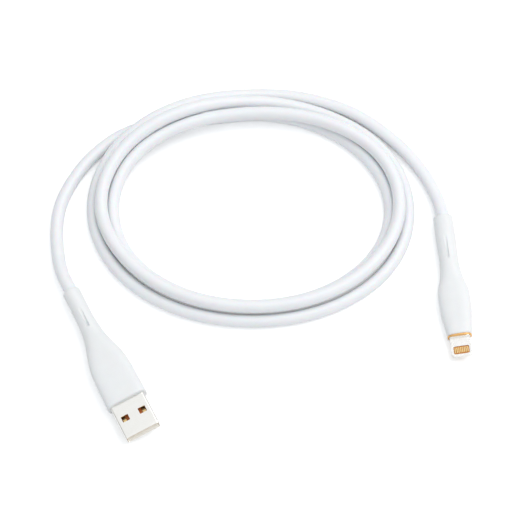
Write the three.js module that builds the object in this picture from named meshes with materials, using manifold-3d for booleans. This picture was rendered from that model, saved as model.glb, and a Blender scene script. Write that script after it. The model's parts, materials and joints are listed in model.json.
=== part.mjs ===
// Charging cable: a flat four-contact plug, a coiled cable and a small eight-contact phone plug.
// Millimetres, +Z up, floor at Z = 0, origin under the middle of the two plugs.
import * as THREE from 'three';
import { mergeVertices } from 'three/addons/utils/BufferGeometryUtils.js';
import Module from 'manifold-3d';

const wasm = await Module();
wasm.setup();

// ---------------------------------------------------------------- driving sizes
const GAP = 0.3;               // between pieces that rest on each other
const FINE_GAP = 0.1;          // between the small pieces inside the plugs
const CABLE_DIAMETER = 4.5;
const CABLE_BORE = CABLE_DIAMETER + FINE_GAP * 3;
const WIRE_DIAMETER = 0.9;
const WIRE_LAY = 0.65;         // of each wire from the cable's axis, both ways

// Each plug is drawn along its own axis: U from the cable end of its cover to the tip, V to the
// left and W up, with W = 0 on the axis. The heading is the turn of the tip from -Y towards +X, and
// the roll lifts the plug's +V side, because the cable's twist tips it on to one edge of its cover.
const USB = { x: -65.89, y: 12.14, z: 4.28, heading: 27, roll: 7 };
const PHONE = { x: 60.51, y: 41.19, z: 3.46, heading: 4.3, roll: 10 };

// Cover outlines: place along U, full width, full height, corner radius.
const USB_COVER = [
  [0, 5.7, 5.7, 2.85], [0.3, 6.0, 6.0, 3.0], [10, 6.0, 6.0, 3.0], [16, 6.7, 6.2, 3.1],
  [20, 7.9, 6.6, 3.2], [24, 10.0, 7.1, 3.3], [28, 12.1, 7.5, 3.4], [31, 13.1, 7.6, 3.3],
  [35, 13.6, 7.6, 3.1], [44.2, 14.0, 7.6, 3.0], [44.8, 13.7, 7.3, 2.9], [45, 13.3, 6.9, 2.7],
];
const PHONE_COVER = [
  [0, 6.3, 5.7, 2.8], [0.3, 6.6, 6.0, 2.95], [8, 6.8, 6.0, 2.95], [17, 6.5, 5.8, 2.85],
  [20.5, 6.9, 5.8, 2.85], [24.5, 8.3, 5.9, 2.85], [28, 10.2, 6.0, 2.8], [31, 10.7, 6.0, 2.7],
  [35, 10.6, 6.0, 2.7], [38, 10.1, 5.8, 2.65], [41.5, 9.1, 5.4, 2.5], [45, 8.2, 4.9, 2.35],
];
const COVER_SIDES = 32;
const COVER_STEPS = 30;
const RELIEF_SLOT = { from: 8, width: 0.9, depth: 0.6, usb_to: 15.6, phone_to: 17 };

// Rooms inside each cover, along U: the cable's bore, then one for each inner piece.
const USB_ROOMS = { bore_to: 23.2, barrel_to: 30, can_from: 29.9, can_to: 38.7, shell_from: 38.3 };
const PHONE_ROOMS = { bore_to: 24, wires_to: 27.3, can_from: 27.1, can_to: 41.7, base_from: 41.1 };
const WIRE_ROOM = { width: 4.6, height: 3.8 };

// Steel shell of the flat plug and what it holds.
const SHELL = { from: 38.6, to: 57, width: 12, height: 4.5, wall: 0.3, radius: 0.9 };
const WINDOW = { at: 50.6, aside: 3.05, long: 2.1, wide: 2.5 };
const INSERT = { from: 39, block_to: 45.4, tip: 54.9, block_width: 10.4, tongue_width: 10.3, top: 0 };
const USB_CONTACTS = [
  { v: 3.5, tip: 54.2 }, { v: 1.15, tip: 53.6 }, { v: -1.15, tip: 53.6 }, { v: -3.5, tip: 54.2 },
];
const USB_CONTACT = { width: 1.1, thick: 0.25, tail: 36.6 };
const USB_CAN = { from: 30.5, to: 38.3, width: 10.8, height: 4.8, radius: 0.8, wall: 0.3, hole: 3.4 };
const USB_BARREL = { from: 23.4, to: 29.6, outer: 5.8, inner: 4.9 };
const USB_JACKET_END = 26;

// Metal tab of the phone plug and what it holds.
const TAB = { from: 43, to: 52.7, width: 6.7, thick: 1.5, tip_radius: 1.2 };
const TAB_NOTCH = { at: 48, radius: 0.8, depth: 0.25 };
const TAB_BASE = { from: 41.4, to: 45.9, width: 7, height: 3.2, radius: 0.9 };
const TAB_WINDOW = { at: 50.5, long: 2.8, wide: 5.3, radius: 0.65 };
const TRIM = { from: 45.3, to: 45.8, width: 8, height: 4.7, radius: 1.9 };
const PHONE_CONTACTS = 8;
const PHONE_CONTACT = { pitch: 0.6, width: 0.38, long: 2, thick: 0.12 };
const PHONE_CAN = { from: 27.5, to: 41.1, width: 7.0, height: 3.8, radius: 1.4, wall: 0.25, hole: 3.1 };
const BOARD = { from: 29.6, to: 40.9, width: 5.2, thick: 0.8, top: -0.6 };
const BOARD_PADS = [2.1, 0.7, -0.7, -2.1];
const CHIP = { at: 35.6, long: 3.2, wide: 3.2, thick: 0.9 };
const PHONE_JACKET_END = 23.5;
const PHONE_WIRE_END = 31.5;

// The coil: an oval winding, three and a half turns deep, as one solid of its outer shape.
const COIL = { x: -5.14, y: 46.39, half_x: 48.2, half_y: 38.6 };
const COIL_STEPS = 72;
const COIL_SECTION = [                // share across the winding, share of its height
  [0.06, 0], [0.94, 0], [1, 0.12], [1, 0.4], [0.9, 0.56], [0.68, 0.9], [0.56, 1],
  [0.36, 1], [0.26, 0.9], [0.1, 0.56], [0, 0.4], [0, 0.12],
];

// The two loose ends of the cable, from each plug to the winding.
const USB_TAIL = [
  [-65.9, 12.4, 4.28], [-67.7, 15.9, 4.05], [-69.2, 19.3, 3.5], [-70.5, 23.6, 2.8],
  [-71.6, 29.1, 2.3], [-72.2, 34.6, 2.25], [-72.4, 40.1, 2.25], [-71.9, 45.1, 2.25],
  [-70.5, 50.6, 2.25], [-67.4, 57.1, 2.25], [-63.7, 63.5, 2.25], [-58.0, 70.0, 2.25],
];
const PHONE_TAIL = [
  [49.0, 68.4, 2.25], [52.7, 63.1, 2.25], [56.4, 56.9, 2.25],
  [58.6, 50.9, 2.4], [59.9, 45.9, 3.0], [60.6, 41.5, 3.46],
];

// ---------------------------------------------------------------- finishes
const finish = (color, metalness, roughness) => () => new THREE.MeshStandardMaterial({
  color, metalness, roughness,
});
const WHITE_SOFT = finish(0xeef1f3, 0, 0.5);
const STEEL = finish(0xd9d6cf, 1, 0.28);
const ORANGE = finish(0xd9601c, 0, 0.45);
const GOLD = finish(0xd9a441, 1, 0.25);
const AMBER = finish(0xc96a12, 0, 0.4);
const GREEN_BOARD = finish(0x2f6b3c, 0, 0.5);
const BLACK = finish(0x1c1d1f, 0, 0.5);
const WIRES = [['red', 0xb3261e], ['white', 0xf2f2ee], ['green', 0x2b8a3e], ['black', 0x202124]];

// ---------------------------------------------------------------- shape helpers
function welded(geometry) {
  const bare = geometry.clone();
  bare.deleteAttribute('normal');
  bare.deleteAttribute('uv');
  return mergeVertices(bare, 1e-4);
}

function toSolid(geometry) {
  const g = welded(geometry);
  return new wasm.Manifold(new wasm.Mesh({
    numProp: 3,
    vertProperties: new Float32Array(g.attributes.position.array),
    triVerts: new Uint32Array(g.index.array),
  }));
}

function toGeometry(solid) {
  const mesh = solid.getMesh();
  const g = new THREE.BufferGeometry();
  g.setAttribute('position', new THREE.BufferAttribute(new Float32Array(mesh.vertProperties), 3));
  g.setIndex(new THREE.BufferAttribute(new Uint32Array(mesh.triVerts), 1));
  return g;
}

function cut(geometry, tools) {
  let solid = toSolid(geometry);
  for (const tool of tools) {
    solid = solid.subtract(toSolid(tool));
  }
  return toGeometry(solid);
}

function join(geometries) {
  let solid = toSolid(geometries[0]);
  for (const extra of geometries.slice(1)) {
    solid = solid.add(toSolid(extra));
  }
  return toGeometry(solid);
}

function box(u0, u1, v0, v1, w0, w1) {
  const g = new THREE.BoxGeometry(u1 - u0, v1 - v0, w1 - w0);
  g.translate((u0 + u1) / 2, (v0 + v1) / 2, (w0 + w1) / 2);
  return g;
}

function rod(u0, u1, diameter, sides = 32) {
  const g = new THREE.CylinderGeometry(diameter / 2, diameter / 2, u1 - u0, sides);
  g.rotateZ(-Math.PI / 2);
  g.translate((u0 + u1) / 2, 0, 0);
  return g;
}

function roundedOutline(width, height, radius) {
  const [a, b] = [width / 2, height / 2];
  const outline = new THREE.Shape();
  outline.absarc(a - radius, b - radius, radius, 0, Math.PI / 2);
  outline.absarc(radius - a, b - radius, radius, Math.PI / 2, Math.PI);
  outline.absarc(radius - a, radius - b, radius, Math.PI, Math.PI * 1.5);
  outline.absarc(a - radius, radius - b, radius, Math.PI * 1.5, Math.PI * 2);
  return outline;
}

// A rounded bar along U, from its outline across V and W.
function bar(u0, u1, width, height, radius, arcSteps = 6) {
  const outline = roundedOutline(width, height, radius);
  const g = new THREE.ExtrudeGeometry(outline, {
    depth: u1 - u0, bevelEnabled: false, curveSegments: arcSteps,
  });
  g.rotateX(Math.PI / 2);
  g.rotateZ(Math.PI / 2);
  g.translate(u0, 0, 0);
  return g;
}

function tubeBar(u0, u1, width, height, radius, wall) {
  const inside = bar(u0 - 1, u1 + 1, width - 2 * wall, height - 2 * wall, radius - wall);
  return cut(bar(u0, u1, width, height, radius), [inside]);
}

// A cover: a ring of rounded sections, blended smoothly from one outline row to the next.
function blended(rows) {
  const tallest = Math.max(...rows.map((row) => row[2]));
  const g = new THREE.CylinderGeometry(1, 1, 1, COVER_SIDES, COVER_STEPS);
  const curves = [1, 2, 3].map((column) => new THREE.CatmullRomCurve3(
    rows.map((row) => new THREE.Vector3(row[0], row[column], 0)), false, 'centripetal',
  ));
  const at = g.attributes.position;
  for (let i = 0; i < at.count; i += 1) {
    const along = 0.5 - at.getY(i);
    const [size_v, size_w, radius] = curves.map((curve) => curve.getPoint(along));
    const turn = Math.atan2(at.getZ(i), at.getX(i));
    const onAxis = Math.hypot(at.getX(i), at.getZ(i)) < 0.5;
    const half_w = Math.min(size_w.y, tallest) / 2;
    const r = Math.min(radius.y, size_v.y / 2, half_w);
    const [a, b] = [size_v.y / 2 - r, half_w - r];
    const v = a * Math.sign(Math.round(Math.cos(turn) * 1e6)) + r * Math.cos(turn);
    const w = b * Math.sign(Math.round(Math.sin(turn) * 1e6)) + r * Math.sin(turn);
    at.setXYZ(i, size_v.x, onAxis ? 0 : v, onAxis ? 0 : w);
  }
  return g;
}

// A slot on top of the cover's thin tail that lets it flex, deepest at its plug end.
function reliefSlot(top, to) {
  const { from, width, depth } = RELIEF_SLOT;
  const side = new THREE.Shape();
  side.moveTo(from, top + FINE_GAP / 2);
  side.lineTo(to, top - depth);
  side.lineTo(to, top + 1);
  side.lineTo(from, top + 1);
  side.closePath();
  const g = new THREE.ExtrudeGeometry(side, { depth: width, bevelEnabled: false });
  g.translate(0, 0, -width / 2);
  g.rotateX(Math.PI / 2);
  return g;
}

// The space that a sleeve sits in, a little larger than the sleeve all round.
function sleeveSpace({ width, height, radius }, u0, u1) {
  return bar(u0, u1, width + GAP, height + GAP, radius + GAP / 2);
}

// A sleeve closed at its cable end but for a round hole.
function openCan({ from, to, width, height, radius, wall, hole }) {
  const back = bar(from - wall, from + wall / 4, width, height, radius);
  return cut(join([tubeBar(from, to, width, height, radius, wall), back]), [
    rod(from - 1, from + 1, hole),
  ]);
}

function tube(points, diameter, sides, spacing) {
  const path = new THREE.CatmullRomCurve3(points.map((p) => new THREE.Vector3(...p)));
  const section = new THREE.Shape();
  for (let i = 0; i < sides; i += 1) {
    const turn = ((i + 0.5) * 2 * Math.PI) / sides;
    const [x, y] = [Math.cos(turn) * diameter / 2, Math.sin(turn) * diameter / 2];
    if (i === 0) {
      section.moveTo(x, y);
    } else {
      section.lineTo(x, y);
    }
  }
  section.closePath();
  const steps = Math.max(4, Math.round(path.getLength() / spacing));
  return new THREE.ExtrudeGeometry(section, { steps, extrudePath: path, bevelEnabled: false });
}

// ---------------------------------------------------------------- flat four-contact plug
function usbCover() {
  return cut(blended(USB_COVER), [
    rod(-1, USB_ROOMS.bore_to, CABLE_BORE),
    rod(USB_ROOMS.bore_to - FINE_GAP, USB_ROOMS.barrel_to, USB_BARREL.outer + 2 * FINE_GAP),
    sleeveSpace(USB_CAN, USB_ROOMS.can_from, USB_ROOMS.can_to),
    sleeveSpace(SHELL, USB_ROOMS.shell_from, SHELL.to),
    reliefSlot(USB_COVER[2][2] / 2, RELIEF_SLOT.usb_to),
  ]);
}

function usbShell() {
  const { from, to, width, height, wall, radius } = SHELL;
  const windows = [];
  for (const v of [-WINDOW.aside, WINDOW.aside]) {
    windows.push(box(
      WINDOW.at - WINDOW.long / 2, WINDOW.at + WINDOW.long / 2,
      v - WINDOW.wide / 2, v + WINDOW.wide / 2, -height, height,
    ));
  }
  return cut(tubeBar(from, to, width, height, radius, wall), windows);
}

function usbInsert() {
  const { from, block_to, tip, block_width, tongue_width, top } = INSERT;
  const half = SHELL.height / 2 - SHELL.wall - FINE_GAP;
  const block = box(from, block_to, -block_width / 2, block_width / 2, -half, half);
  const tongue = box(block_to - 0.2, tip, -tongue_width / 2, tongue_width / 2, -half, top);
  const slots = USB_CONTACTS.map(({ v }) => box(
    from - 1, block_to + 1, v - USB_CONTACT.width / 2 - FINE_GAP,
    v + USB_CONTACT.width / 2 + FINE_GAP, top, top + USB_CONTACT.thick + 2 * FINE_GAP,
  ));
  return cut(join([block, tongue]), slots);
}

function usbContact({ v, tip }) {
  const { width, thick, tail } = USB_CONTACT;
  const low = INSERT.top + FINE_GAP;
  return box(tail, tip, v - width / 2, v + width / 2, low, low + thick);
}

// Four wires leave the cut end of the cable in a square and spread to a row of solder points.
function wireEnd(index, start, end, v, w) {
  const side = index < 2 ? WIRE_LAY : -WIRE_LAY;
  const rise = index % 3 === 0 ? -WIRE_LAY : WIRE_LAY;
  const along = (share) => start + (end - start) * share;
  const path = [[start, side, rise], [along(0.5), side, rise],
    [along(0.72), side + (v - side) * 0.85, w], [along(0.88), v, w], [end, v, w]];
  return tube(path, WIRE_DIAMETER, 8, 1.2);
}

// ---------------------------------------------------------------- eight-contact phone plug
function phoneCover() {
  return cut(blended(PHONE_COVER), [
    rod(-1, PHONE_ROOMS.bore_to, CABLE_BORE),
    box(PHONE_ROOMS.bore_to - FINE_GAP, PHONE_ROOMS.wires_to,
      -WIRE_ROOM.width / 2, WIRE_ROOM.width / 2, -WIRE_ROOM.height / 2, WIRE_ROOM.height / 2),
    sleeveSpace(PHONE_CAN, PHONE_ROOMS.can_from, PHONE_ROOMS.can_to),
    sleeveSpace(TAB_BASE, PHONE_ROOMS.base_from, TAB.to),
    reliefSlot(PHONE_COVER[2][2] / 2, RELIEF_SLOT.phone_to),
  ]);
}

// A flat plate across W with its plan outline in U and V.
function plate(outline, thick) {
  const g = new THREE.ExtrudeGeometry(outline, {
    depth: thick, bevelEnabled: false, curveSegments: 6,
  });
  g.translate(0, 0, -thick / 2);
  return g;
}

function windowPlate(margin, thick) {
  const { at, long, wide, radius } = TAB_WINDOW;
  const g = plate(roundedOutline(long - 2 * margin, wide - 2 * margin, radius - margin), thick);
  g.translate(at, 0, 0);
  return g;
}

function phoneTab() {
  const { from, to, width, thick, tip_radius: r } = TAB;
  const { at, radius, depth } = TAB_NOTCH;
  const half = width / 2;
  const outline = new THREE.Shape();
  outline.moveTo(from, -half);
  outline.lineTo(to - r, -half);
  outline.absarc(to - r, r - half, r, -Math.PI / 2, 0);
  outline.absarc(to - r, half - r, r, 0, Math.PI / 2);
  outline.lineTo(from, half);
  outline.closePath();
  const notches = [-1, 1].map((side) => {
    const g = new THREE.CylinderGeometry(radius, radius, thick * 2, 24);
    g.rotateX(Math.PI / 2);
    g.translate(at, side * (half + radius - depth), 0);
    return g;
  });
  const base = bar(TAB_BASE.from, TAB_BASE.to, TAB_BASE.width, TAB_BASE.height, TAB_BASE.radius);
  return cut(join([plate(outline, thick), base]), [windowPlate(0, thick * 2), ...notches]);
}

function phoneTrim() {
  const hole = sleeveSpace(TAB_BASE, TRIM.from - 1, TRIM.to + 1);
  return cut(bar(TRIM.from, TRIM.to, TRIM.width, TRIM.height, TRIM.radius, 10), [hole]);
}

function phoneContact(index, side) {
  const { pitch, width, long, thick } = PHONE_CONTACT;
  const v = (index - (PHONE_CONTACTS - 1) / 2) * pitch;
  const outer = TAB.thick / 2;
  const low = side > 0 ? outer - thick : -outer;
  return box(TAB_WINDOW.at - long / 2, TAB_WINDOW.at + long / 2,
    v - width / 2, v + width / 2, low, low + thick);
}

function phoneBoard() {
  const { from, to, width, thick, top } = BOARD;
  return box(from, to, -width / 2, width / 2, top - thick, top);
}

function phoneChip() {
  const { at, long, wide, thick } = CHIP;
  const low = BOARD.top + FINE_GAP;
  return box(at - long / 2, at + long / 2, -wide / 2, wide / 2, low, low + thick);
}

// ---------------------------------------------------------------- cable
function bump(turn, centre, reach) {
  const away = Math.abs(THREE.MathUtils.euclideanModulo(turn - centre + 180, 360) - 180);
  return away < reach ? Math.cos((away / reach) * (Math.PI / 2)) ** 2 : 0;
}

function cableCoil() {
  const profile = COIL_SECTION.map(([across, up]) => new THREE.Vector2(1 + across, up));
  profile.push(profile[0].clone());
  const g = new THREE.LatheGeometry(profile, COIL_STEPS);
  g.rotateX(Math.PI / 2);
  const at = g.attributes.position;
  for (let i = 0; i < at.count; i += 1) {
    const turn = Math.atan2(at.getY(i), at.getX(i));
    const degrees = THREE.MathUtils.radToDeg(turn);
    const across = Math.hypot(at.getX(i), at.getY(i)) - 1;
    const inner = -2.2 - 3.5 * bump(degrees, 95, 85);
    const outer = 9.2 + 2.3 * bump(degrees, 55, 30);
    const height = 8.7 + 3.5 * bump(degrees, 143, 55);
    const lane = inner + (outer - inner) * across;
    at.setXYZ(i, COIL.x + (COIL.half_x + lane) * Math.cos(turn),
      COIL.y + (COIL.half_y + lane) * Math.sin(turn), Math.abs(at.getZ(i)) * height);
  }
  return g;
}

// ---------------------------------------------------------------- assembly
function plugGroup({ x, y, z, heading, roll }) {
  const plug = new THREE.Group();
  plug.position.set(x, y, z);
  plug.rotation.set(THREE.MathUtils.degToRad(roll), 0, THREE.MathUtils.degToRad(heading - 90), 'ZYX');
  return plug;
}

function add(group, name, geometry, material) {
  geometry.computeVertexNormals();
  const mesh = new THREE.Mesh(geometry, material());
  mesh.name = name;
  group.add(mesh);
}

function usbPlug() {
  const plug = plugGroup(USB);
  const barrel = cut(rod(USB_BARREL.from, USB_BARREL.to, USB_BARREL.outer), [
    rod(USB_BARREL.from - 1, USB_BARREL.to + 1, USB_BARREL.inner),
  ]);
  add(plug, 'usb_cover', usbCover(), WHITE_SOFT);
  add(plug, 'usb_shell', usbShell(), STEEL);
  add(plug, 'usb_insert', usbInsert(), ORANGE);
  USB_CONTACTS.forEach((contact, i) => {
    add(plug, `usb_contact_${i + 1}`, usbContact(contact), GOLD);
  });
  add(plug, 'usb_rear_can', openCan(USB_CAN), STEEL);
  add(plug, 'usb_crimp_barrel', barrel, STEEL);
  add(plug, 'usb_jacket_end', rod(GAP, USB_JACKET_END, CABLE_DIAMETER, 24), WHITE_SOFT);
  WIRES.forEach(([colour, hex], i) => {
    const wire = wireEnd(i, USB_JACKET_END + GAP, USB_CONTACT.tail - GAP, USB_CONTACTS[i].v, 0.22);
    add(plug, `usb_wire_${colour}`, wire, finish(hex, 0, 0.5));
  });
  return plug;
}

function phonePlug() {
  const plug = plugGroup(PHONE);
  add(plug, 'phone_cover', phoneCover(), WHITE_SOFT);
  add(plug, 'phone_trim_ring', phoneTrim(), GOLD);
  add(plug, 'phone_tab', phoneTab(), STEEL);
  add(plug, 'phone_contact_carrier', windowPlate(FINE_GAP, 1.1), AMBER);
  for (const [side, face] of [[1, 'top'], [-1, 'bottom']]) {
    for (let i = 0; i < PHONE_CONTACTS; i += 1) {
      add(plug, `phone_contact_${face}_${i + 1}`, phoneContact(i, side), GOLD);
    }
  }
  add(plug, 'phone_can', openCan(PHONE_CAN), STEEL);
  add(plug, 'phone_board', phoneBoard(), GREEN_BOARD);
  add(plug, 'phone_chip', phoneChip(), BLACK);
  add(plug, 'phone_jacket_end', rod(GAP, PHONE_JACKET_END, CABLE_DIAMETER, 24), WHITE_SOFT);
  WIRES.forEach(([colour, hex], i) => {
    const w = BOARD.top + FINE_GAP + WIRE_DIAMETER / 2;
    const wire = wireEnd(i, PHONE_JACKET_END + GAP, PHONE_WIRE_END, BOARD_PADS[i], w);
    add(plug, `phone_wire_${colour}`, wire, finish(hex, 0, 0.5));
  });
  return plug;
}

const cable = new THREE.Group();
cable.name = 'charging_cable';
cable.add(usbPlug(), phonePlug());
add(cable, 'cable_usb_tail', tube(USB_TAIL, CABLE_DIAMETER, 10, 10), WHITE_SOFT);
add(cable, 'cable_coil', cableCoil(), WHITE_SOFT);
add(cable, 'cable_phone_tail', tube(PHONE_TAIL, CABLE_DIAMETER, 10, 10), WHITE_SOFT);

export default cable;
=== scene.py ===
"""Charging cable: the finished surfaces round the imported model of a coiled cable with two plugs."""
import json
import math

import bmesh
import bpy
import numpy as np
from mathutils import Matrix, Vector


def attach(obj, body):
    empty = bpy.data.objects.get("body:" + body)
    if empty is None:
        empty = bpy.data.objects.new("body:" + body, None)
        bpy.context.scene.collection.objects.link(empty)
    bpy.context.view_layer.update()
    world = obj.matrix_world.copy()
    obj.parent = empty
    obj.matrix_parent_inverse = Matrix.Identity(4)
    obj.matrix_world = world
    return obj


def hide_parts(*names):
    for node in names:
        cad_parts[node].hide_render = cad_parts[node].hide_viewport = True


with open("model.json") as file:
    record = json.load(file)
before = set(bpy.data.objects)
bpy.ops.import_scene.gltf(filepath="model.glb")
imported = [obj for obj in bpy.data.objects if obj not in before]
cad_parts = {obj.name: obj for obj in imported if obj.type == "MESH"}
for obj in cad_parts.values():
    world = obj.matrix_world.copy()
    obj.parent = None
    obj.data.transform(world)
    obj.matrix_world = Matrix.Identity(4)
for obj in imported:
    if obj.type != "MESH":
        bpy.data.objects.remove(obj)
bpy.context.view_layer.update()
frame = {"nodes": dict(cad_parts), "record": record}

MM = 0.001

# ------------------------------------------------------------------ sizes, in millimetres
CAMERA_ELEVATION = 62          # degrees above the floor
CAMERA_DISTANCE = 600
CAMERA_TARGET = (-3.74, 28.09, 0)
CAMERA_LENS = 123.2
SENSOR = 36

FLOOR_GLOW = 0.3
FLOOR_REACH = 6                # metres from the middle to each side
KEY_LIGHT = {"place": (0.45, 0.2, 0.95), "size": (0.8, 0.8), "watts": 4.5, "color": (1.0, 0.99, 0.97)}
LIGHT_TARGET = (0, 0.03, 0)    # metres
DOME_COLOR = (0.96, 0.98, 1.0, 1)
DOME_BRIGHT_SIDE = (0.12, -0.05, 0.98)
DOME_TONES = [(0, 0.05), (0.07, 0.46), (0.45, 0.8), (1, 0.98)]     # share overhead, brightness
CABLE_DIAMETER = 4.5
FLOOR_REST = CABLE_DIAMETER / 2

# Each plug's own axes, as in the CAD source: U from the cable end to the tip, V to the left, W up.
USB = {"place": (-65.89, 12.14, 4.28), "heading": 27, "roll": 7}
PHONE = {"place": (60.51, 41.19, 3.46), "heading": 4.3, "roll": 10}

# The cable's route. The loose ends are the CAD tubes' own points.
USB_JACKET = (26, 17, 9, 3)    # along U, from where the jacket stops inside each cover
PHONE_JACKET = (3, 9, 16, 23.5)
USB_TAIL = [
    (-65.9, 12.4, 4.28), (-67.7, 15.9, 4.05), (-69.2, 19.3, 3.5), (-70.5, 23.6, 2.8),
    (-71.6, 29.1, 2.3), (-72.2, 34.6, 2.25), (-72.4, 40.1, 2.25), (-71.9, 45.1, 2.25),
    (-70.5, 50.6, 2.25), (-67.4, 57.1, 2.25), (-63.7, 63.5, 2.25), (-58.0, 70.0, 2.25),
]
USB_TAIL_INTO_COIL = [
    (-50.6, 76.0, 2.25), (-43.1, 78.8, 2.25), (-36.4, 80.3, 2.25), (-23.9, 81.9, 2.25),
    (-14.0, 83.0, 2.25),
]
PHONE_TAIL_FROM_COIL = [(29.0, 85.6, 2.25), (35.4, 81.5, 2.25), (41.2, 76.6, 2.25)]
PHONE_TAIL = [
    (49.0, 68.4, 2.25), (52.7, 63.1, 2.25), (56.4, 56.9, 2.25),
    (58.6, 50.9, 2.4), (59.9, 45.9, 3.0), (60.6, 41.5, 3.46),
]
# The coil winds clockwise from its far side, each turn outside the last but lifted over the loose
# end on the upper left. Every 30 degrees: distance out from the oval, and height of the centre.
COIL = {"centre": (-5.14, 46.39), "half_x": 48.2, "half_y": 38.6}
COIL_TURNS = [
    [(-0.9, 2.25), (-1.0, 2.25), (-0.9, 2.25), (0.0, 2.25), (0.45, 2.25), (0.4, 2.25),
     (0.1, 2.25), (0.4, 2.25), (0.6, 2.3), (0.1, 3.6), (-1.0, 5.9), (-3.05, 7.0)],
    [(-3.4, 7.0), (-1.1, 7.0), (2.05, 6.15), (2.85, 6.1), (2.75, 6.35), (2.7, 6.3),
     (2.3, 6.4), (2.6, 6.4), (3.0, 6.45), (4.05, 6.7), (2.6, 9.0), (0.9, 9.8)],
    [(2.7, 5.0), (4.1, 2.6), (5.4, 2.25), (6.0, 2.25), (6.8, 2.25), (6.35, 2.25),
     (5.65, 2.25), (6.15, 2.25), (6.7, 2.35), (6.9, 3.1), (5.9, 6.0), (5.2, 6.5)],
    [(7.1, 2.4), (9.2, 2.25)],
]
LANES_PER_TURN = 12
POINTS_PER_LANE = 3
ROUTE_STEP = 1.5               # between the points of the finished line
SETTLING_ROUNDS = 50
EASING = 0.125                 # share of each neighbour that a point takes on while it settles
HELD_AT_USB = 40               # length at each end that doesn't move while the coil settles
HELD_AT_PHONE = 35
CURVE_DETAIL = 8               # points drawn between two route points, and the tube's roundness


# ------------------------------------------------------------------ camera, floor and light
def make_camera():
    data = bpy.data.cameras.new("camera")
    data.lens = CAMERA_LENS
    data.sensor_width = SENSOR
    data.clip_start = 0.01
    data.clip_end = 10
    camera = bpy.data.objects.new("camera", data)
    bpy.context.scene.collection.objects.link(camera)
    elevation = math.radians(CAMERA_ELEVATION)
    back = Vector((0, -math.cos(elevation), math.sin(elevation)))
    camera.location = (Vector(CAMERA_TARGET) + back * CAMERA_DISTANCE) * MM
    camera.rotation_euler = (math.pi / 2 - elevation, 0, 0)
    bpy.context.scene.camera = camera


def area_light(name, place, size, watts, color):
    data = bpy.data.lights.new(name, "AREA")
    data.shape = "RECTANGLE"
    data.size = size[0]
    data.size_y = size[1]
    data.energy = watts
    data.color = color
    light = bpy.data.objects.new(name, data)
    light.location = place
    way = Vector(LIGHT_TARGET) - Vector(place)
    light.rotation_euler = way.to_track_quat("-Z", "Y").to_euler()
    bpy.context.scene.collection.objects.link(light)


def make_dome():
    """A soft dome of light, brightest overhead and to the right and dark low on the left."""
    world = bpy.data.worlds.new("studio")
    world.use_nodes = True
    tree = world.node_tree
    background = tree.nodes["Background"]
    background.inputs["Color"].default_value = DOME_COLOR
    way = tree.nodes.new("ShaderNodeTexCoord")
    share = tree.nodes.new("ShaderNodeVectorMath")
    share.operation = "DOT_PRODUCT"
    share.inputs[1].default_value = Vector(DOME_BRIGHT_SIDE).normalized()
    ramp = tree.nodes.new("ShaderNodeValToRGB")
    ramp.color_ramp.elements[0].position = DOME_TONES[0][0]
    ramp.color_ramp.elements[1].position = DOME_TONES[-1][0]
    for position, tone in DOME_TONES[1:-1]:
        ramp.color_ramp.elements.new(position)
    for element, (position, tone) in zip(ramp.color_ramp.elements, DOME_TONES):
        element.color = (tone, tone, tone, 1)
    tree.links.new(way.outputs["Generated"], share.inputs[0])
    tree.links.new(share.outputs["Value"], ramp.inputs["Fac"])
    tree.links.new(ramp.outputs["Color"], background.inputs["Strength"])
    bpy.context.scene.world = world


def make_studio():
    make_dome()
    bpy.context.scene.view_settings.view_transform = "Standard"
    area_light("key", **KEY_LIGHT)
    data = bpy.data.meshes.new("floor")
    signs = [(-1, -1), (1, -1), (1, 1), (-1, 1)]
    corners = [(FLOOR_REACH * x, FLOOR_REACH * y, 0) for x, y in signs]
    data.from_pydata(corners, [], [(0, 1, 2, 3)])
    floor = bpy.data.objects.new("floor", data)
    floor.data.materials.append(floor_material())
    bpy.context.scene.collection.objects.link(floor)


# ------------------------------------------------------------------ materials
def new_material(name, **inputs):
    material = bpy.data.materials.new(name)
    material.use_nodes = True
    shader = material.node_tree.nodes["Principled BSDF"]
    for socket, value in inputs.items():
        shader.inputs[socket.replace("_", " ")].default_value = value
    return material, material.node_tree, shader


def noise(tree, scale, detail=2.0, stretch=(1, 1, 1), plug=None):
    """A noise in the object's own coordinates, in features per metre, drawn out along a plug."""
    place = tree.nodes.new("ShaderNodeTexCoord")
    mapping = tree.nodes.new("ShaderNodeMapping")
    mapping.vector_type = "TEXTURE"
    mapping.inputs["Scale"].default_value = stretch
    if plug:
        mapping.inputs["Rotation"].default_value = plug_matrix(plug).to_euler()
    texture = tree.nodes.new("ShaderNodeTexNoise")
    texture.inputs["Scale"].default_value = scale
    texture.inputs["Detail"].default_value = detail
    tree.links.new(place.outputs["Object"], mapping.inputs["Vector"])
    tree.links.new(mapping.outputs["Vector"], texture.inputs["Vector"])
    return texture.outputs["Fac"]


def between(tree, factor, low, high):
    """Maps a noise to a number or a colour between low and high."""
    if isinstance(low, tuple):
        ramp = tree.nodes.new("ShaderNodeValToRGB")
        ramp.color_ramp.elements[0].position = 0.3
        ramp.color_ramp.elements[1].position = 0.7
        ramp.color_ramp.elements[0].color = (*low, 1)
        ramp.color_ramp.elements[1].color = (*high, 1)
        tree.links.new(factor, ramp.inputs["Fac"])
        return ramp.outputs["Color"]
    span = tree.nodes.new("ShaderNodeMapRange")
    span.inputs["From Min"].default_value = 0.3
    span.inputs["From Max"].default_value = 0.7
    span.inputs["To Min"].default_value = low
    span.inputs["To Max"].default_value = high
    tree.links.new(factor, span.inputs["Value"])
    return span.outputs["Result"]


def bump(tree, shader, height, depth_mm, strength=1.0):
    node = tree.nodes.new("ShaderNodeBump")
    node.inputs["Strength"].default_value = strength
    node.inputs["Distance"].default_value = depth_mm * MM
    tree.links.new(height, node.inputs["Height"])
    tree.links.new(node.outputs["Normal"], shader.inputs["Normal"])


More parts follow.
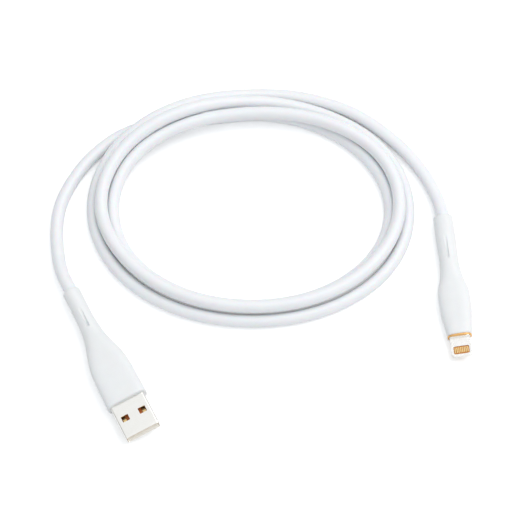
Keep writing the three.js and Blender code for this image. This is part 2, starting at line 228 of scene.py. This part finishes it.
def moulded(name, low, high, rough, grain, depth, **more):
    """A moulded plastic: two close tones, an uneven gloss and a fine surface grain."""
    material, tree, shader = new_material(name, **more)
    tree.links.new(between(tree, noise(tree, 260, 3), low, high), shader.inputs["Base Color"])
    tree.links.new(between(tree, noise(tree, 900, 2), *rough), shader.inputs["Roughness"])
    bump(tree, shader, noise(tree, grain, 3), depth)
    return material


def plated(name, low, high, rough, stretch, depth, plug, **more):
    """A plated metal: fine drawn lines along one way and a slightly uneven tone."""
    material, tree, shader = new_material(name, Metallic=1.0, **more)
    tree.links.new(between(tree, noise(tree, 500, 3), low, high), shader.inputs["Base Color"])
    lines = noise(tree, 1500, 3, stretch, plug)
    tree.links.new(between(tree, lines, *rough), shader.inputs["Roughness"])
    bump(tree, shader, lines, depth)
    return material


def floor_material():
    """Pale paper under a light of its own that only the camera sees, so that it shows near white."""
    material, tree, shader = new_material("floor", Roughness=0.9)
    tone = between(tree, noise(tree, 6, 2), (0.90, 0.905, 0.91), (0.91, 0.915, 0.92))
    tree.links.new(tone, shader.inputs["Base Color"])
    shader.inputs["Emission Color"].default_value = (1, 1, 1, 1)
    seen = tree.nodes.new("ShaderNodeLightPath")
    glow = tree.nodes.new("ShaderNodeMath")
    glow.operation = "MULTIPLY"
    glow.inputs[1].default_value = FLOOR_GLOW
    tree.links.new(seen.outputs["Is Camera Ray"], glow.inputs[0])
    tree.links.new(glow.outputs["Value"], shader.inputs["Emission Strength"])
    return material


def make_materials():
    white = {"Subsurface_Weight": 0.06, "Subsurface_Scale": 0.6 * MM, "IOR": 1.47}
    clearer = {"Subsurface_Weight": 0.25, "Subsurface_Scale": 2 * MM, "IOR": 1.47}
    gold = (0.86, 0.62, 0.27)
    return {
        "cover_white": moulded("soft_white_cover", (0.775, 0.785, 0.79), (0.795, 0.805, 0.81),
                               (0.42, 0.5), 9000, 0.006, **white),
        "cable_white": moulded("cable_jacket", (0.79, 0.805, 0.825), (0.81, 0.825, 0.845),
                               (0.34, 0.42), 4000, 0.006, **clearer),
        "steel": plated("bright_steel", (0.95, 0.93, 0.88), (0.97, 0.95, 0.91), (0.16, 0.24),
                        (16, 1, 1), 0.001, USB),
        "tab_steel": plated("tab_steel", (0.94, 0.92, 0.88), (0.97, 0.95, 0.92), (0.2, 0.28),
                            (16, 1, 1), 0.001, PHONE),
        "gold_trim": plated("gold_trim", (0.90, 0.50, 0.17), (0.95, 0.57, 0.22), (0.28, 0.38),
                            (1, 16, 1), 0.002, PHONE),
        "gold_plate": plated("gold_plate", gold, (0.92, 0.70, 0.36), (0.2, 0.3),
                             (10, 1, 1), 0.001, PHONE),
        "orange_plastic": moulded("orange_plastic", (0.62, 0.17, 0.04), (0.70, 0.22, 0.06),
                                  (0.4, 0.5), 6000, 0.004),
        "amber_plastic": moulded("amber_plastic", (0.50, 0.17, 0.02), (0.62, 0.24, 0.03),
                                 (0.3, 0.4), 6000, 0.004),
        "board_green": moulded("circuit_board", (0.02, 0.13, 0.05), (0.04, 0.18, 0.07),
                               (0.3, 0.45), 5000, 0.01),
        "chip_black": moulded("chip_black", (0.008, 0.008, 0.009), (0.016, 0.016, 0.018),
                              (0.5, 0.65), 7000, 0.006),
        "wire_red": moulded("wire_red", (0.36, 0.012, 0.01), (0.44, 0.02, 0.015),
                            (0.35, 0.45), 5000, 0.004),
        "wire_white": moulded("wire_white", (0.75, 0.75, 0.72), (0.8, 0.8, 0.77),
                              (0.35, 0.45), 5000, 0.004),
        "wire_green": moulded("wire_green", (0.01, 0.20, 0.04), (0.02, 0.26, 0.06),
                              (0.35, 0.45), 5000, 0.004),
        "wire_black": moulded("wire_black", (0.008, 0.008, 0.01), (0.014, 0.014, 0.016),
                              (0.35, 0.45), 5000, 0.004),
    }


# ------------------------------------------------------------------ the cable's route
def through(rows, at):
    """A point on the smooth line through rows, at a row number that need not be whole."""
    first = min(int(at), len(rows) - 2)
    f = at - first
    a, b, c, d = (np.array(rows[min(max(first + k, 0), len(rows) - 1)]) for k in (-1, 0, 1, 2))
    return 0.5 * (2 * b + (c - a) * f + (2 * a - 5 * b + 4 * c - d) * f ** 2
                  + (3 * b - a - 3 * c + d) * f ** 3)


def coil_points():
    lanes = [lane for turn in COIL_TURNS for lane in turn]
    x, y = COIL["centre"]
    points = []
    for step in range((len(lanes) - 1) * POINTS_PER_LANE + 1):
        lane = step / POINTS_PER_LANE
        out, height = through(lanes, lane)
        turn = math.pi / 2 - lane * 2 * math.pi / LANES_PER_TURN
        points.append((x + (COIL["half_x"] + out) * math.cos(turn),
                       y + (COIL["half_y"] + out) * math.sin(turn), height))
    return points


def evenly_spaced(points, step):
    count = CURVE_DETAIL * (len(points) - 1) + 1
    dense = np.array([through(points, i / CURVE_DETAIL) for i in range(count)])
    run = np.concatenate([[0], np.cumsum(np.linalg.norm(np.diff(dense, axis=0), axis=1))])
    at = np.linspace(0, run[-1], round(run[-1] / step) + 1)
    return np.stack([np.interp(at, run, dense[:, k]) for k in range(3)], axis=1)


def settled(line, held):
    """Eases the turns apart until they only touch, and keeps them on the floor and smooth."""
    line = line.copy()
    number = np.arange(len(line))
    apart = np.abs(number[:, None] - number[None, :]) > 4 * CABLE_DIAMETER / ROUTE_STEP
    for round_number in range(SETTLING_ROUNDS):
        away = line[:, None, :] - line[None, :, :]
        distance = np.linalg.norm(away, axis=2)
        touching = (distance < CABLE_DIAMETER) & apart
        push = np.where(touching, (CABLE_DIAMETER - distance) / np.maximum(distance, 0.01) / 2, 0)
        move = (away * push[:, :, None]).sum(axis=1) / np.maximum(touching.sum(axis=1), 1)[:, None]
        move[held] = 0
        line += move
        if round_number < SETTLING_ROUNDS * 2 // 3:
            eased = line.copy()
            eased[1:-1] = (1 - 2 * EASING) * line[1:-1] + EASING * (line[:-2] + line[2:])
            line[~held] = eased[~held]
        line[:, 2] = np.maximum(line[:, 2], FLOOR_REST)
    return line


def plug_matrix(plug):
    turn = math.radians(plug["heading"] - 90)
    roll = math.radians(plug["roll"])
    place = Matrix.Translation(Vector(plug["place"]) * MM)
    return place @ Matrix.Rotation(turn, 4, "Z") @ Matrix.Rotation(roll, 4, "X")


def on_axis(plug, along):
    """A point on a plug's own axis, in the row frame, in millimetres."""
    return tuple((plug_matrix(plug) @ Vector((along * MM, 0, 0))) / MM)


def make_cable(materials):
    usb_jacket = [on_axis(USB, u) for u in USB_JACKET]
    phone_jacket = [on_axis(PHONE, u) for u in PHONE_JACKET]
    points = (usb_jacket + USB_TAIL + USB_TAIL_INTO_COIL + coil_points()
              + PHONE_TAIL_FROM_COIL + PHONE_TAIL + phone_jacket)
    line = evenly_spaced(points, ROUTE_STEP)
    number = np.arange(len(line))
    held = (number < HELD_AT_USB / ROUTE_STEP) | (number > len(line) - HELD_AT_PHONE / ROUTE_STEP)
    line = settled(line, held)
    curve = bpy.data.curves.new("cable", "CURVE")
    curve.dimensions = "3D"
    curve.bevel_depth = CABLE_DIAMETER / 2 * MM
    curve.bevel_resolution = CURVE_DETAIL
    curve.use_fill_caps = True
    spline = curve.splines.new("POLY")
    spline.points.add(len(line) - 1)
    for point, place in zip(spline.points, line):
        point.co = (*(place * MM), 1)
    spline.use_smooth = True
    cable = bpy.data.objects.new("cable", curve)
    bpy.context.scene.collection.objects.link(cable)
    curve.materials.append(materials["cable_white"])
    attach(cable, "root")
    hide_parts("cable_usb_tail", "cable_coil", "cable_phone_tail",
                "usb_jacket_end", "phone_jacket_end")


# ------------------------------------------------------------------ mesh helpers
def eased(rows, at):
    """Values between outline rows, with no overshoot: a cubic whose slopes are held by its steps."""
    rows = np.array(rows, float)
    steps = np.diff(rows, axis=0)
    slopes = steps[:, 1:] / steps[:, :1]
    inner = np.where(slopes[:-1] * slopes[1:] > 0,
                     2 * slopes[:-1] * slopes[1:] / (slopes[:-1] + slopes[1:] + 1e-12), 0)
    tangents = np.vstack([slopes[:1], inner, slopes[-1:]])
    k = min(max(int(np.searchsorted(rows[:, 0], at, side="right")) - 1, 0), len(rows) - 2)
    span = steps[k, 0]
    f = min(max((at - rows[k, 0]) / span, 0), 1)
    return ((1 + 2 * f) * (1 - f) ** 2 * rows[k, 1:] + f * (1 - f) ** 2 * span * tangents[k]
            + f * f * (3 - 2 * f) * rows[k + 1, 1:] - f * f * (1 - f) * span * tangents[k + 1])


def even_angles(count):
    return [i * 2 * math.pi / count for i in range(count)]


def soft_section(along, width, height, power, angles):
    """A rounded section whose corners square up as the power rises from 2, a plain oval."""
    points = []
    for angle in angles:
        c, s = math.cos(angle), math.sin(angle)
        v = width / 2 * math.copysign(abs(c) ** (2 / power), c)
        w = height / 2 * math.copysign(abs(s) ** (2 / power), s)
        points.append((along, v, w))
    return points


def round_cornered(along, width, height, radius, angles):
    """A rectangle with round corners."""
    points = []
    for angle in angles:
        c, s = math.cos(angle), math.sin(angle)
        v = radius * c + (math.copysign(width / 2 - radius, c) if abs(c) > 1e-6 else 0)
        w = radius * s + (math.copysign(height / 2 - radius, s) if abs(s) > 1e-6 else 0)
        points.append((along, v, w))
    return points


def sleeve(name, rings):
    """A closed mesh of rings of the same number of points, the last joined to the first."""
    data = bpy.data.meshes.new(name)
    count = len(rings[0])
    faces = []
    for i in range(len(rings)):
        j = (i + 1) % len(rings)
        for k in range(count):
            m = (k + 1) % count
            faces.append((i * count + k, i * count + m, j * count + m, j * count + k))
    points = [tuple(c * MM for c in point) for ring in rings for point in ring]
    data.from_pydata(points, [], faces)
    tidy_mesh(data)
    return data


def capped(name, rings):
    """A closed mesh of rings, with a flat face at each end."""
    mesh = bmesh.new()
    made = [[mesh.verts.new([c * MM for c in point]) for point in ring] for ring in rings]
    for low, high in zip(made, made[1:]):
        for k in range(len(low)):
            m = (k + 1) % len(low)
            mesh.faces.new((low[k], low[m], high[m], high[k]))
    mesh.faces.new(made[0])
    mesh.faces.new(made[-1])
    bmesh.ops.recalc_face_normals(mesh, faces=mesh.faces)
    data = bpy.data.meshes.new(name)
    mesh.to_mesh(data)
    mesh.free()
    return data


def tidy_mesh(data):
    mesh = bmesh.new()
    mesh.from_mesh(data)
    bmesh.ops.remove_doubles(mesh, verts=mesh.verts, dist=1e-7)
    bmesh.ops.recalc_face_normals(mesh, faces=mesh.faces)
    mesh.to_mesh(data)
    mesh.free()


def slab(name, outline, low, high):
    """A flat plate of an outline in U and V, from one height to another."""
    mesh = bmesh.new()
    corners = [mesh.verts.new((u * MM, v * MM, low * MM)) for u, v in outline]
    base = mesh.faces.new(corners)
    raised = bmesh.ops.extrude_face_region(mesh, geom=[base])["geom"]
    tops = [g for g in raised if isinstance(g, bmesh.types.BMVert)]
    bmesh.ops.translate(mesh, verts=tops, vec=(0, 0, (high - low) * MM))
    bmesh.ops.recalc_face_normals(mesh, faces=mesh.faces)
    data = bpy.data.meshes.new(name)
    mesh.to_mesh(data)
    mesh.free()
    return data


def arc(u, v, radius, start, end, steps=8):
    """Points round part of a circle, in degrees."""
    turns = [math.radians(start + (end - start) * i / steps) for i in range(steps + 1)]
    return [(u + radius * math.cos(t), v + radius * math.sin(t)) for t in turns]


def rounded_outline(u, v, long, wide, radius, steps=8):
    a, b = long / 2 - radius, wide / 2 - radius
    return (arc(u + a, v + b, radius, 0, 90, steps) + arc(u - a, v + b, radius, 90, 180, steps)
            + arc(u - a, v - b, radius, 180, 270, steps) + arc(u + a, v - b, radius, 270, 360, steps))


def shaped(data, tools_data, operation="DIFFERENCE"):
    """The mesh with other meshes cut out of it, or joined to it."""
    scene = bpy.context.scene.collection
    body = bpy.data.objects.new("body", data)
    scene.objects.link(body)
    tools = []
    for tool_data in tools_data:
        tool = bpy.data.objects.new("tool", tool_data)
        scene.objects.link(tool)
        tools.append(tool)
        cut = body.modifiers.new("cut", "BOOLEAN")
        cut.operation = operation
        cut.solver = "EXACT"
        cut.object = tool
    done = bpy.data.meshes.new_from_object(body.evaluated_get(bpy.context.evaluated_depsgraph_get()))
    for thing in [body, *tools]:
        bpy.data.objects.remove(thing)
    return done


def piece(name, data, plug, material, nodes, edge=0, smooth=40):
    """A finished piece in a plug's own axes, in place of CAD nodes."""
    data.transform(plug_matrix(plug))
    made = bpy.data.objects.new(name, data)
    bpy.context.scene.collection.objects.link(made)
    data.materials.clear()
    data.materials.append(material)
    data.shade_smooth()
    if edge:
        bevel = made.modifiers.new("edges", "BEVEL")
        bevel.width = edge * MM
        bevel.segments = 3
        bevel.limit_method = "ANGLE"
        bevel.angle_limit = math.radians(smooth)
        bevel.harden_normals = True
    data.set_sharp_from_angle(angle=math.radians(smooth))
    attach(made, "root")
    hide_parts(*nodes)
    return made


# ------------------------------------------------------------------ covers
# Outline rows of each cover: place along U, full width, full height, squareness.
USB_COVER = [
    (0, 6.0, 6.0, 2), (10, 6.0, 6.0, 2), (16, 6.7, 6.2, 2.1), (20, 7.9, 6.6, 2.4),
    (24, 10.0, 7.1, 2.9), (28, 12.1, 7.5, 3.5), (31, 13.1, 7.6, 4.0), (35, 13.6, 7.6, 4.4),
    (45, 14.0, 7.6, 4.6),
]
PHONE_COVER = [
    (0, 6.6, 6.0, 2.05), (8, 6.8, 6.0, 2.1), (17, 6.5, 5.8, 2.1), (20.5, 6.9, 5.8, 2.15),
    (24.5, 8.3, 5.9, 2.4), (28, 10.2, 6.0, 2.8), (31, 10.7, 6.0, 3.0), (35, 10.6, 6.0, 3.0),
    (38, 10.1, 5.8, 2.9), (41.5, 9.1, 5.4, 2.9), (45.2, 8.2, 4.95, 2.9),
]
CABLE_END_ROUNDING = 0.35
MOUTH_ROUNDING = 0.6
ROUNDING_STEPS = 5
COVER_COLUMNS = 96
SLOT = {"from": 8, "width": 0.8, "depth": 0.9, "wall": 0.08, "usb_to": 15.6, "phone_to": 17}
SLOT_COLUMNS = (0, 0.1, 0.2, 0.28, 0.34, 0.38, 0.42, 0.47, 0.54, 0.66, 0.82)
BORE = CABLE_DIAMETER + 0.16
ROUND = BORE / 2 - 0.001       # just under half, so that the sides keep some length
# The hollow from the mouth to the cable: place along U, width, height and corner radius.
USB_ROOMS = [
    (45, 12.12, 4.62, 0.95), (44.9, 12.06, 4.56, 0.93), (38.4, 12.06, 4.56, 0.93),
    (38.4, 11.1, 5.1, 0.95), (29.9, 11.1, 5.1, 0.95),
    (29.9, 6.0, 6.0, 2.999), (23.1, 6.0, 6.0, 2.999),
    (23.1, BORE, BORE, ROUND), (0.4, BORE, BORE, ROUND),
]
PHONE_ROOMS = [
    (45.2, 7.1, 3.3, 0.95), (41.5, 7.1, 3.3, 0.95),
    (41.5, 7.3, 4.1, 1.55), (27.1, 7.3, 4.1, 1.55),
    (27.1, 4.6, 3.8, 0.6), (23.9, 4.6, 3.8, 0.6),
    (23.9, BORE, BORE, ROUND), (0.4, BORE, BORE, ROUND),
]


def cover_angles(width):
    """Even columns, with closer ones over the slot on top."""
    close = [math.acos(side * v / (width / 2)) for v in SLOT_COLUMNS for side in (1, -1)]
    reach = math.acos((SLOT_COLUMNS[-1] + SLOT["wall"]) / (width / 2))
    rest = [a for a in even_angles(COVER_COLUMNS) if abs(a - math.pi / 2) > math.pi / 2 - reach]
    return sorted(set(round(a, 6) for a in close + rest))


def slot_depth(along, aside, slot_end):
    """How far the slot sinks the surface: a ramp along U that ends at a wall."""
    share = (along - SLOT["from"]) / (slot_end - SLOT["from"])
    if not 0 < share < 1.0001:
        return 0
    edge = (SLOT["width"] / 2 - abs(aside)) / SLOT["wall"] + 0.5
    return SLOT["depth"] * share * min(max(edge, 0), 1)


def slotted(ring, slot_end):
    return [(u, v, w - slot_depth(u, v, slot_end)) if w > 0 else (u, v, w) for u, v, w in ring]


def spaced(start, end, step):
    count = max(1, round((end - start) / step))
    return [start + (end - start) * i / count for i in range(count + 1)]


def cover_mesh(name, rows, slot_end, inside):
    """A moulded cover: its outside, its rounded ends, and the hollow that the inner pieces fill."""
    angles = cover_angles(rows[0][1])
    last = rows[-1][0]
    stations = (spaced(CABLE_END_ROUNDING, SLOT["from"], 0.6) + spaced(SLOT["from"], slot_end, 0.3)[1:]
                + [slot_end + 0.02, slot_end + 0.1] + spaced(slot_end + 0.4, last - MOUTH_ROUNDING, 0.5))
    turns = [i * math.pi / 2 / ROUNDING_STEPS for i in range(ROUNDING_STEPS + 1)]
    rings = [soft_section(0, BORE, BORE, 2, angles)]
    width, height, power = eased(rows, 0)
    for turn in turns[:-1]:
        along = CABLE_END_ROUNDING * (1 - math.cos(turn))
        inset = 2 * CABLE_END_ROUNDING * (1 - math.sin(turn))
        rings.append(soft_section(along, width - inset, height - inset, power, angles))
    for along in stations:
        rings.append(slotted(soft_section(along, *eased(rows, along), angles), slot_end))
    width, height, power = eased(rows, last)
    for turn in turns[1:]:
        along = last - MOUTH_ROUNDING * (1 - math.sin(turn))
        inset = 2 * MOUTH_ROUNDING * (1 - math.cos(turn))
        rings.append(soft_section(along, width - inset, height - inset, power, angles))
    for along, width, height, radius in inside:
        rings.append(round_cornered(along, width, height, radius, angles))
    return sleeve(name, rings)


def make_covers(materials):
    for name, rows, slot_end, inside, plug in (
            ("usb_cover", USB_COVER, SLOT["usb_to"], USB_ROOMS, USB),
            ("phone_cover", PHONE_COVER, SLOT["phone_to"], PHONE_ROOMS, PHONE)):
        data = cover_mesh(f"{name}_skin", rows, slot_end, inside)
        piece(f"{name}_skin", data, plug, materials["cover_white"], [name], smooth=50)


# ------------------------------------------------------------------ computer plug's metal
SHELL = {"from": 38.6, "to": 57, "width": 12, "height": 4.5, "wall": 0.3, "radius": 0.75, "lip": 0.18}
SHELL_WINDOW = {"at": 50.6, "aside": 3.05, "long": 2.1, "wide": 2.5, "radius": 0.22}
SHELL_SEAM = {"width": 0.09, "depth": 0.2, "tab_from": 46.4, "tab_to": 48.6, "tab_half": 1.1}


def ribbon(points, width):
    """The outline of a thin strip along a broken line."""
    sides = ([], [])
    for i, (u, v) in enumerate(points):
        before = points[max(i - 1, 0)]
        after = points[min(i + 1, len(points) - 1)]
        way = Vector((after[0] - before[0], after[1] - before[1])).normalized()
        for side, sign in zip(sides, (1, -1)):
            side.append((u - way.y * sign * width / 2, v + way.x * sign * width / 2))
    return sides[0] + sides[1][::-1]


def make_shell(materials):
    angles = even_angles(COVER_COLUMNS)
    first, last = SHELL["from"], SHELL["to"]
    lip = SHELL["lip"]
    rings = []

    def ring(along, inset):
        rings.append(round_cornered(along, SHELL["width"] - 2 * inset, SHELL["height"] - 2 * inset,
                                    SHELL["radius"] - inset * 0.8, angles))

    wall = SHELL["wall"]
    ring(first, 0)
    ring(last - 0.9, 0)
    for i in range(5):
        turn = i * math.pi / 8
        ring(last - lip * (1 - math.sin(turn)), lip * (1 - math.cos(turn)))
    ring(last - 0.04, wall - 0.03)
    ring(last - 0.12, wall)
    ring(first, wall)
    cutters = []
    for aside in (-SHELL_WINDOW["aside"], SHELL_WINDOW["aside"]):
        for low in (1, -3):
            outline = rounded_outline(SHELL_WINDOW["at"], aside, SHELL_WINDOW["long"],
                                      SHELL_WINDOW["wide"], SHELL_WINDOW["radius"], 5)
            cutters.append(slab("window", outline, low, low + 2))
    tab_from, tab_to, half = SHELL_SEAM["tab_from"], SHELL_SEAM["tab_to"], SHELL_SEAM["tab_half"]
    line = [(first - 1, 0), (tab_from, 0), (tab_from, half * 0.7), (tab_to, half),
            (tab_to, -half), (tab_from, -half * 0.7), (tab_from, -0.3)]
    bottom = -SHELL["height"] / 2
    for strip in (line[:2], line[1:4], line[3:5], line[4:7], [(tab_to, 0), (last + 1, 0)]):
        cutters.append(slab("seam", ribbon(strip, SHELL_SEAM["width"]), bottom - 1,
                            bottom + SHELL_SEAM["depth"]))
    data = shaped(sleeve("usb_shell_skin", rings), cutters)
    data.name = "usb_shell_skin"
    piece("usb_shell_skin", data, USB, materials["steel"], ["usb_shell"], edge=0.04)


# ------------------------------------------------------------------ phone plug's metal
TAB = {"from": 43, "to": 52.7, "width": 6.7, "thick": 1.5, "tip_radius": 1.2}
TAB_NOTCH = {"at": 48, "radius": 0.8, "depth": 0.25}
TAB_BASE = {"from": 41.4, "to": 45.9, "width": 7, "height": 3.2, "radius": 0.9}
TAB_WINDOW = {"at": 50.5, "long": 2.8, "wide": 5.3, "radius": 0.65}
CONTACT_BLOCK = {"margin": 0.05, "half_thick": 0.62}
TRIM = {"from": 45.2, "to": 45.6, "width": 8.1, "height": 4.75, "power": 2.9, "edge": 0.12,
        "gap": 0.08}
PHONE_CONTACTS = 8
PHONE_CONTACT = {"pitch": 0.6, "width": 0.38, "long": 2, "thick": 0.12, "radius": 0.15}


def tab_outline():
    half = TAB["width"] / 2
    radius, reach = TAB_NOTCH["radius"], TAB["tip_radius"]
    away = half + radius - TAB_NOTCH["depth"]
    open_angle = math.degrees(math.asin((away - half) / radius))
    near = arc(TAB_NOTCH["at"], -away, radius, 180 - open_angle, open_angle, 12)
    far = arc(TAB_NOTCH["at"], away, radius, -open_angle, open_angle - 180, 12)
    return ([(TAB["from"], -half)] + near + arc(TAB["to"] - reach, reach - half, reach, -90, 0, 12)
            + arc(TAB["to"] - reach, half - reach, reach, 0, 90, 12) + far + [(TAB["from"], half)])


def make_tab(materials):
    half = TAB["thick"] / 2
    window = rounded_outline(TAB_WINDOW["at"], 0, TAB_WINDOW["long"], TAB_WINDOW["wide"],
                             TAB_WINDOW["radius"])
    plate = shaped(slab("plate", tab_outline(), -half, half), [slab("window", window, -2, 2)])
    angles = even_angles(64)
    base = capped("base", [
        round_cornered(u, TAB_BASE["width"], TAB_BASE["height"], TAB_BASE["radius"], angles)
        for u in (TAB_BASE["from"], TAB_BASE["to"])])
    data = shaped(plate, [base], "UNION")
    data.name = "phone_tab_skin"
    piece("phone_tab_skin", data, PHONE, materials["tab_steel"], ["phone_tab"], edge=0.14)


def make_contact_block(materials):
    margin, half = CONTACT_BLOCK["margin"], CONTACT_BLOCK["half_thick"]
    outline = rounded_outline(TAB_WINDOW["at"], 0, TAB_WINDOW["long"] - 2 * margin,
                              TAB_WINDOW["wide"] - 2 * margin, TAB_WINDOW["radius"] - margin)
    piece("phone_contact_block", slab("phone_contact_block", outline, -half, half), PHONE,
          materials["amber_plastic"], ["phone_contact_carrier"], edge=0.05)


def make_phone_contacts(materials):
    outer = TAB["thick"] / 2 + 0.01
    for face, low in (("top", outer - PHONE_CONTACT["thick"]), ("bottom", -outer)):
        for i in range(PHONE_CONTACTS):
            aside = (i - (PHONE_CONTACTS - 1) / 2) * PHONE_CONTACT["pitch"]
            outline = rounded_outline(TAB_WINDOW["at"], aside, PHONE_CONTACT["long"],
                                      PHONE_CONTACT["width"], PHONE_CONTACT["radius"], 4)
            name = f"phone_pad_{face}_{i + 1}"
            data = slab(name, outline, low, low + PHONE_CONTACT["thick"])
            piece(name, data, PHONE, materials["gold_plate"],
                  [f"phone_contact_{face}_{i + 1}"], edge=0.035)


def make_trim(materials):
    angles = even_angles(COVER_COLUMNS)
    width, height, edge, gap = TRIM["width"], TRIM["height"], TRIM["edge"], TRIM["gap"]
    rings = []
    for end, sign in ((TRIM["from"], 1), (TRIM["to"], -1)):
        corner = []
        for i in range(5):
            turn = i * math.pi / 8
            inset = 2 * edge * (1 - math.cos(turn))
            corner.append(soft_section(end + sign * edge * (1 - math.sin(turn)), width - inset,
                                       height - inset, TRIM["power"], angles))
        rings += corner[::-1] if sign > 0 else corner
    hole = (TAB_BASE["width"] + gap, TAB_BASE["height"] + gap, TAB_BASE["radius"] + gap / 2)
    rings.append(round_cornered(TRIM["to"], *hole, angles))
    rings.append(round_cornered(TRIM["from"], *hole, angles))
    piece("phone_trim_band", sleeve("phone_trim_band", rings), PHONE, materials["gold_trim"],
          ["phone_trim_ring"])


# ------------------------------------------------------------------ the pieces that stay as packed
INNER_EDGE = 0.06


def finish_cad_nodes(materials):
    """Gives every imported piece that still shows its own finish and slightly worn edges."""
    slots = {row["node"]: row["material_slot"] for row in frame["record"]["subparts"]}
    for name, node in frame["nodes"].items():
        node.data.materials.clear()
        node.data.materials.append(materials[slots[name]])
        node.data.shade_smooth()
        bevel = node.modifiers.new("edges", "BEVEL")
        bevel.width = INNER_EDGE * MM
        bevel.segments = 2
        bevel.limit_method = "ANGLE"
        bevel.angle_limit = math.radians(40)
        bevel.harden_normals = True


# ------------------------------------------------------------------ the scene
make_camera()
make_studio()
materials = make_materials()
make_cable(materials)
make_covers(materials)
make_shell(materials)
make_tab(materials)
make_contact_block(materials)
make_phone_contacts(materials)
make_trim(materials)
finish_cad_nodes(materials)
